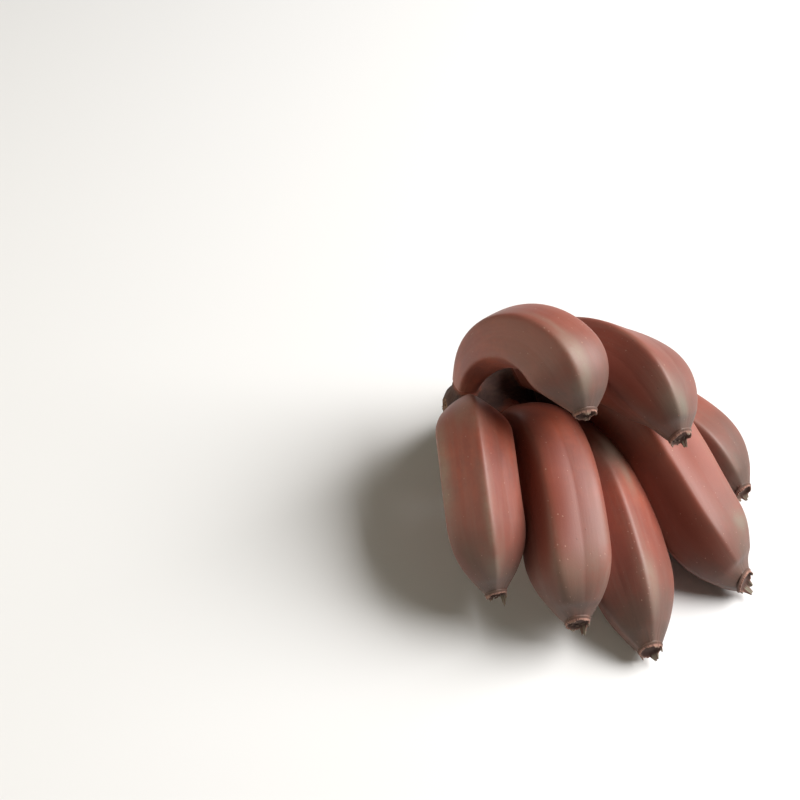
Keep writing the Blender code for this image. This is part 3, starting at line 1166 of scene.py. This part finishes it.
        first_rounds, last_rounds = self.ease_rounds
        stages = ((first_rounds, self.ease_pull, False), (self.fillet_rounds, self.fillet_pull, True),
                  (last_rounds, self.ease_pull, False))
        for rounds, pull, only_hollows in stages:
            for _ in range(rounds):
                step(pull, only_hollows)
        mesh.vertices.foreach_set("co", points.astype(np.float32).ravel())
        mesh.update()

    def cut_mask(self, points: np.ndarray) -> np.ndarray:
        """How surely each point lies on the cut face."""
        place = self.local(points)
        near = np.full(len(points), np.inf)
        line = np.array(self.cut)
        for start, end in zip(line[:-1], line[1:]):
            way = end - start
            share = np.clip(((place[:, :2] - start) @ way) / (way @ way), 0.0, 1.0)
            foot = start + share[:, None] * way
            near = np.minimum(near, np.linalg.norm(place[:, :2] - foot, axis=1))
        return np.clip((self.cut_reach - near) / self.cut_fade, 0.0, 1.0)

    def grown(self, points: np.ndarray, builders: list[FingerBuilder]) -> np.ndarray:
        """How far up its neck each point lies, from 0 on the stalk to 1 where the skin starts."""
        nearest = np.full(len(points), np.inf)
        share = np.zeros(len(points))
        for builder in builders:
            for middle, own in zip(builder.rail.points[: self.neck_rings], builder.rail.shares):
                away = ((points - middle) ** 2).sum(axis=1)
                closer = away < nearest
                nearest[closer] = away[closer]
                share[closer] = own
        return np.clip((share - self.stalk_end) / (self.skin_start - self.stalk_end), 0.0, 1.0)

    def tuck(self, builder: FingerBuilder, peel: Object) -> None:
        """Draw the hidden start of a skin in, so that it stays under the crown.

        Args:
            builder: The finger's builder, which has its middle line.
            peel: The finger's finished skin.
        """
        ease = np.clip(builder.rail.shares[: self.neck_rings] / self.skin_start, 0.0, 1.0)
        points = points_of(peel.data)
        first = self.resized(builder, peel, self.tucked + (1.0 - self.tucked) * ease ** 3)
        points[: len(first)] = first
        peel.data.vertices.foreach_set("co", points.astype(np.float32).ravel())
        peel.data.update()

    def build(self, builders: list[FingerBuilder], peels: list[Object], trees: Trees,
              finishes: Finishes) -> list[Object]:
        """Make the crown and the fibre ends on its cut face.

        Args:
            builders: Builders of the fingers.
            peels: Their finished skins.
            trees: Geometry trees by name.
            finishes: Materials by name.

        Returns:
            The crown and the fibres.
        """
        mesh = self.fused(builders, peels)
        self.soften(mesh)
        points = points_of(mesh)
        place = self.local(points)
        store(mesh, "cut", self.cut_mask(points))
        store(mesh, "skin", place[:, [1, 2, 0]] * MM)
        store(mesh, "grown", self.grown(points, builders))
        for builder, peel in zip(builders, peels):
            self.tuck(builder, peel)
        crown = shaped("crown", mesh, trees["crown_relief"], {"Finish": finishes["crown"]})
        fibres = shaped("cut_fibres", crown.data.copy(), trees["fibre_ends"], {"Finish": finishes["fibre"]})
        return [crown, fibres]


def streaks_group() -> NodeTree:
    """Group of fine lines that run the length of a piece."""
    board = Board.group("long_streaks", Tree.SHADER)
    vector = board.gets("Vector", Socket.VECTOR)
    scale, low, high = board.numbers(scale=400.0, low=0.4, high=0.7)
    lines = board.noise(vector, scale, detail=4.0, roughness=0.6, stretch=0.06)
    board.gives("Mask", Socket.FLOAT, board.smooth(lines, low, high))
    return board.tree


def spots_group() -> NodeTree:
    """Group of scattered round spots of uneven size."""
    board = Board.group("scattered_spots", Tree.SHADER)
    vector = board.gets("Vector", Socket.VECTOR)
    scale, size, amount = board.numbers(scale=500.0, size=0.3, amount=0.3)
    reach = board.node("ShaderNodeTexVoronoi", {"Vector": vector, "Scale": scale}, output="Distance")
    draws = reach.beside("Color")
    draw = board.part(draws, 0)
    own_size = size * (0.4 + 0.6 * board.part(draws, 1))
    spot = 1.0 - board.smooth(reach, own_size * 0.5, own_size)
    board.gives("Mask", Socket.FLOAT, spot * board.maths("LESS_THAN", draw, amount))
    return board.tree


def cloud_group() -> NodeTree:
    """Group of soft clouds of two sizes, for bloom and for changes of tone."""
    board = Board.group("soft_clouds", Tree.SHADER)
    vector = board.gets("Vector", Socket.VECTOR)
    scale, low, high = board.numbers(scale=40.0, low=0.4, high=0.6)
    wide = board.noise(vector, scale)
    fine = board.noise(vector, scale * 9.0, roughness=0.6)
    board.gives("Mask", Socket.FLOAT, board.smooth(wide * 0.75 + fine * 0.25, low, high))
    return board.tree


def new_material(name: str) -> tuple[Material, Board, Node]:
    """Material with a Principled shader.

    Args:
        name: Name of the material.

    Returns:
        The material, its board and its shader.
    """
    made = bpy.data.materials.new(name)
    made.use_nodes = True
    return made, Board(made.node_tree), made.node_tree.nodes["Principled BSDF"]


@dataclass(frozen=True)
class PeelFinish:
    """Semi-matt red peel with a grey-green bloom, streaks, small marks and patches of painted shade."""

    red: Colour = (0.285, 0.070, 0.044)
    deep: Colour = (0.215, 0.051, 0.034)
    warm: Colour = (0.385, 0.082, 0.040)
    dull: Colour = (0.128, 0.060, 0.046)
    bloom: Colour = (0.270, 0.198, 0.146)
    green: Colour = (0.280, 0.270, 0.200)
    # The next two colours are painted shade: a deep red and a brown.
    painted_shade_colour: Colour = (0.180, 0.044, 0.029)
    brown: Colour = (0.125, 0.066, 0.050)
    neck: Colour = (0.340, 0.135, 0.092)
    tip: Colour = (0.080, 0.047, 0.036)
    rim: Colour = (0.400, 0.215, 0.165)
    rim_dark: Colour = (0.150, 0.072, 0.054)
    dried: Colour = (0.215, 0.190, 0.140)
    cup: Colour = (0.085, 0.042, 0.032)
    speck: Colour = (0.470, 0.270, 0.200)
    mark: Colour = (0.060, 0.024, 0.018)
    roughness: float = 0.48
    bloom_roughness: float = 0.60
    gloss: float = 0.52
    coat: float = 0.04
    coat_roughness: float = 0.45
    sheen: float = 0.05
    sheen_roughness: float = 0.5
    bump: float = 0.35
    bump_height: float = 0.00025

    def build(self, groups: Trees) -> Material:
        """Wire the peel's material.

        Args:
            groups: Shader groups by name.

        Returns:
            The material.
        """
        made, board, shader = new_material("red_peel")
        skin = board.read("skin", "Vector")
        share, past, ridge, painted_shade_deep, painted_shade_brown = (board.read(name) for name in (
            "share", "past", "ridge", Tone.DEEP.value, Tone.BROWN.value))
        clouds, spots = groups["clouds"], groups["spots"]
        tone = board.mask(clouds, skin, scale=26.0, low=0.30, high=0.70)
        warmth = board.mask(clouds, skin, scale=47.0, low=0.40, high=0.75)
        veil = board.mask(clouds, skin, scale=75.0, low=0.32, high=0.66)
        lines = board.mask(groups["streaks"], skin, scale=420.0, low=0.42, high=0.72)
        pale = board.mask(spots, skin, scale=620.0, size=0.30, amount=0.10)
        dark = board.mask(spots, skin, scale=410.0, size=0.20, amount=0.08)
        torn = board.smooth(board.noise(skin, scale=850.0, roughness=0.6), 0.40, 0.58)
        bloomed = board.read(Tone.BLOOM.value) * (0.45 + 0.55 * veil) + ridge * veil * 0.14
        bloomed = board.maths("MINIMUM", bloomed, 0.80)
        lip = board.smooth(past, 0.16, 0.34) * (1.0 - board.smooth(past, 0.55, 0.68))
        colour = board.layered(board.mix(tone, self.deep, self.red), (
            (warmth * (1.0 - board.smooth(share, 0.35, 0.85)) * 0.9, self.warm),
            (board.smooth(share, 0.50, 0.98) * (0.45 + 0.35 * veil), self.dull),
            (lines * 0.10, self.bloom),
            (bloomed, self.bloom),
            (board.read(Tone.GREEN.value) * (0.35 + 0.45 * veil), self.green),
            # Painted shade in deep red where its patches lie.
            (painted_shade_deep * 0.85, self.painted_shade_colour),
            # Painted shade in brown where its patches lie.
            (painted_shade_brown * (0.45 + 0.35 * veil), self.brown),
            ((1.0 - board.smooth(share, 0.05, 0.26)) * 0.8, self.neck),
            (board.smooth(share, 0.79, 1.0) * (0.50 + 0.40 * veil), self.tip),
            (pale * 0.40, self.speck),
            (dark * 0.40, self.mark),
            (lip * 0.85, board.mix(torn, self.rim_dark, self.rim)),
            (board.smooth(past, 0.55, 0.72), self.cup),
            (board.smooth(board.read("dry"), 0.10, 0.60), board.mix(torn, self.rim_dark, self.dried)),
        ))
        rough = self.roughness + (self.bloom_roughness - self.roughness) * bloomed
        rough = rough + lines * 0.05 + tone * 0.04
        pores = board.noise(skin, scale=1500.0, detail=2.0)
        height = lines * 0.20 + pores * 0.35 + pale * 0.6 - dark * 0.4
        board.feed(shader, {
            "Base Color": colour,
            "Roughness": board.maths("MINIMUM", rough + board.smooth(past, 0.0, 0.1) * 0.4, 0.95),
            # The painted shade patches also lower the gloss, so that less highlight shows on them.
            "Specular IOR Level": self.gloss * (1.0 - painted_shade_deep * 0.85) * (1.0 - painted_shade_brown * 0.4),
            "Coat Weight": self.coat,
            "Coat Roughness": self.coat_roughness,
            "Sheen Weight": self.sheen,
            "Sheen Roughness": self.sheen_roughness,
            "Normal": board.bump(height, self.bump, self.bump_height),
        })
        return made


@dataclass(frozen=True)
class DryFinish:
    """Dried plant matter, from pale to dark along its fibres."""

    name: str
    pale: Colour
    dark: Colour
    middle: Colour
    roughness: float = 0.85
    scale: float = 900.0
    bump: float = 0.8
    bump_height: float = 0.0003

    def build(self, groups: Trees) -> Material:
        """Wire the dried material.

        Args:
            groups: Shader groups by name.

        Returns:
            The material.
        """
        made, board, shader = new_material(self.name)
        place = board.node("ShaderNodeTexCoord", {}, output="Object")
        clouds = board.mask(groups["clouds"], place, scale=self.scale * 0.35, low=0.35, high=0.65)
        grain = board.noise(place, self.scale, detail=4.0, roughness=0.65)
        colour = board.mix(clouds, self.dark, self.middle)
        board.feed(shader, {
            "Base Color": board.mix(board.smooth(grain, 0.52, 0.72), colour, self.pale),
            "Roughness": self.roughness + 0.1 * grain,
            "Normal": board.bump(grain, self.bump, self.bump_height),
        })
        return made


@dataclass(frozen=True)
class CrownFinish:
    """Bark-brown crown with a dried, fibrous cut face."""

    bark: Colour = (0.098, 0.052, 0.044)
    bark_dark: Colour = (0.048, 0.029, 0.026)
    bark_pale: Colour = (0.150, 0.085, 0.058)
    peel: Colour = (0.270, 0.085, 0.055)
    cut: Colour = (0.290, 0.170, 0.100)
    cut_dark: Colour = (0.060, 0.028, 0.022)
    roughness: float = 0.74
    gloss: float = 0.25
    bump: float = 0.7
    bump_height: float = 0.0005

    def build(self, groups: Trees) -> Material:
        """Wire the crown's material.

        Args:
            groups: Shader groups by name.

        Returns:
            The material.
        """
        made, board, shader = new_material("crown_bark")
        skin = board.read("skin", "Vector")
        cut = board.read("cut")
        clouds = board.mask(groups["clouds"], skin, scale=60.0, low=0.35, high=0.65)
        lines = board.mask(groups["streaks"], skin, scale=520.0, low=0.40, high=0.66)
        dots = board.mask(groups["spots"], skin, scale=900.0, size=0.5, amount=0.6)
        torn = board.noise(skin, scale=700.0, detail=4.0, roughness=0.7)
        ragged = board.read("grown") + 0.20 * (clouds - 0.5) + 0.15 * (lines - 0.5)
        face = board.mix(board.smooth(torn, 0.40, 0.62), self.cut_dark, self.cut)
        face = board.mix(dots * 0.6, face, self.cut_dark)
        colour = board.layered(board.mix(clouds, self.bark_dark, self.bark), (
            (lines * 0.30, self.bark_pale),
            (board.smooth(ragged, 0.15, 0.95), self.peel),
            (board.smooth(cut, 0.25, 0.75), face),
        ))
        board.feed(shader, {
            "Base Color": colour,
            "Roughness": self.roughness + 0.15 * cut + 0.08 * torn,
            "Specular IOR Level": self.gloss,
            "Normal": board.bump(lines * 0.5 + torn * 0.6 * (0.4 + cut), self.bump, self.bump_height),
        })
        return made


@dataclass(frozen=True)
class Lamp:
    """Square soft light that looks at the hand: its size in metres and its power in watts."""

    name: str
    place: Triple
    size: float
    power: float
    tint: Colour
    aim: Triple = (0.0, 0.0, 0.03)

    def build(self) -> None:
        """Put the lamp in the scene."""
        data = bpy.data.lights.new(self.name, "AREA")
        data.shape = "SQUARE"
        data.size = self.size
        data.energy = self.power
        data.color = self.tint
        made = link_object(self.name, data)
        made.location = self.place
        way = Vector(self.aim) - Vector(self.place)
        made.rotation_euler = way.to_track_quat("-Z", "Y").to_euler()


@dataclass(frozen=True)
class Studio:
    """Pale floor, soft light and the camera at the photograph's angle."""

    elevation: float = 52.0
    distance: float = 0.62
    lens: float = 55.8
    sensor: float = 36.0
    frame_pixels: float = 800.0
    origin_pixel: Pair = (645.0, 655.0)
    floor_size: float = 6.0
    floor_colour: Colour = (0.80, 0.80, 0.81)
    floor_roughness: float = 0.7
    sky: Colour = (1.0, 0.965, 0.80)
    sky_strength: float = 0.080
    lamps: tuple[Lamp, ...] = (
        Lamp("key", (1.29, 0.22, 1.27), 1.3, 70.0, (1.0, 0.985, 0.96)),
        Lamp("left_fill", (-1.00, -0.14, 0.24), 0.8, 4.4, (1.0, 0.93, 0.74)),
    )

    def camera(self, shift: Vector) -> None:
        """Camera that sees the layout's origin at its pixel.

        Args:
            shift: Where the layout's origin lies in the frame.
        """
        rise = math.radians(self.elevation)
        back = Vector((0.0, -math.cos(rise), math.sin(rise)))
        right = Vector((1.0, 0.0, 0.0))
        up = back.cross(right)
        focal = self.lens / self.sensor * self.frame_pixels
        right_by, down_by = ((pixel - self.frame_pixels / 2) / focal * self.distance
                             for pixel in self.origin_pixel)
        data = bpy.data.cameras.new("camera")
        data.lens = self.lens
        data.sensor_width = self.sensor
        data.clip_start = 0.01
        made = link_object("camera", data)
        made.location = shift + back * self.distance - right * right_by + up * down_by
        made.rotation_euler = (math.pi / 2 - rise, 0.0, 0.0)
        bpy.context.scene.camera = made

    def floor(self) -> None:
        """Plain pale floor."""
        half = self.floor_size / 2
        corners = np.array([(-half, -half, 0.0), (half, -half, 0.0), (half, half, 0.0), (-half, half, 0.0)])
        made = link_object("floor", plain_mesh("floor", corners, [(0, 1, 2, 3)]))
        finish, board, shader = new_material("pale_floor")
        board.feed(shader, {"Base Color": self.floor_colour, "Roughness": self.floor_roughness})
        made.data.materials.append(finish)

    def build(self, shift: Vector) -> None:
        """Make the whole studio."""
        self.camera(shift)
        for lamp in self.lamps:
            lamp.build()
        self.floor()
        world = bpy.data.worlds.new("soft_room")
        world.use_nodes = True
        backdrop = world.node_tree.nodes["Background"]
        Board(world.node_tree).feed(backdrop, {"Color": self.sky, "Strength": self.sky_strength})
        bpy.context.scene.world = world
        view = bpy.context.scene.view_settings
        view.view_transform = "Standard"
        view.look = "None"


@dataclass
class BananaHand:
    """The whole hand: seven fingers on their crown."""

    fingers: tuple[Finger, ...] = FINGERS

    def finishes(self) -> Finishes:
        """Make every material.

        Returns:
            The materials by name.
        """
        groups = {"streaks": streaks_group(), "spots": spots_group(), "clouds": cloud_group()}
        dried = DryFinish("dried_flower", (0.320, 0.255, 0.190), (0.070, 0.038, 0.029),
                          (0.165, 0.105, 0.078))
        speck = DryFinish("pale_speck", (0.420, 0.240, 0.180), (0.230, 0.080, 0.056),
                          (0.320, 0.150, 0.105), scale=500.0, bump=0.2)
        fibre = DryFinish("torn_fibre", (0.420, 0.280, 0.170), (0.060, 0.034, 0.026),
                          (0.200, 0.120, 0.075))
        return {
            "peel": PeelFinish().build(groups),
            "dried": dried.build(groups),
            "speck": speck.build(groups),
            "fibre": fibre.build(groups),
            "crown": CrownFinish().build(groups),
        }

    def build(self) -> Vector:
        """Make every piece, move it into the frame and hang it on the body.

        Returns:
            Where the layout's origin lies in the frame.
        """
        finishes = self.finishes()
        trees = {
            "finger_form": finger_form_tree(),
            "dried_flaps": dried_flaps_tree(),
            "specks": specks_tree(),
            "fibre_ends": fibre_ends_tree(),
            "crown_relief": crown_relief_tree(),
        }
        builders = [FingerBuilder(finger, BlossomEnd(), trees, finishes) for finger in self.fingers]
        peels = [builder.peel() for builder in builders]
        pieces = list(peels)
        for builder, peel in zip(builders, peels):
            pieces.append(builder.blossom())
            pieces.append(builder.specks(peel))
        pieces.extend(Crown().build(builders, peels, trees, finishes))
        shift = self.shift(pieces)
        for piece in pieces:
            piece.data.transform(Matrix.Translation(shift))
            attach(piece, BODY)
            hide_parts(NODE)
            log.info("%s: %d faces", piece.name, len(piece.data.polygons))
        return shift

    def shift(self, pieces: list[Object]) -> Vector:
        """How far the layout moves so that its middle stands over the frame's middle."""
        points = np.concatenate([points_of(piece.data) for piece in pieces])
        low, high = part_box(NODE)
        middle = (points.min(axis=0) + points.max(axis=0)) / 2.0
        wanted = (low + high) / 2.0
        return Vector((wanted.x - middle[0], wanted.y - middle[1], 0.0))


def main() -> None:
    """Build the hand and its studio."""
    logging.basicConfig(level=logging.INFO, format="%(name)s: %(message)s")
    shift = BananaHand().build()
    Studio().build(shift)


if __name__ == "__main__":
    main()
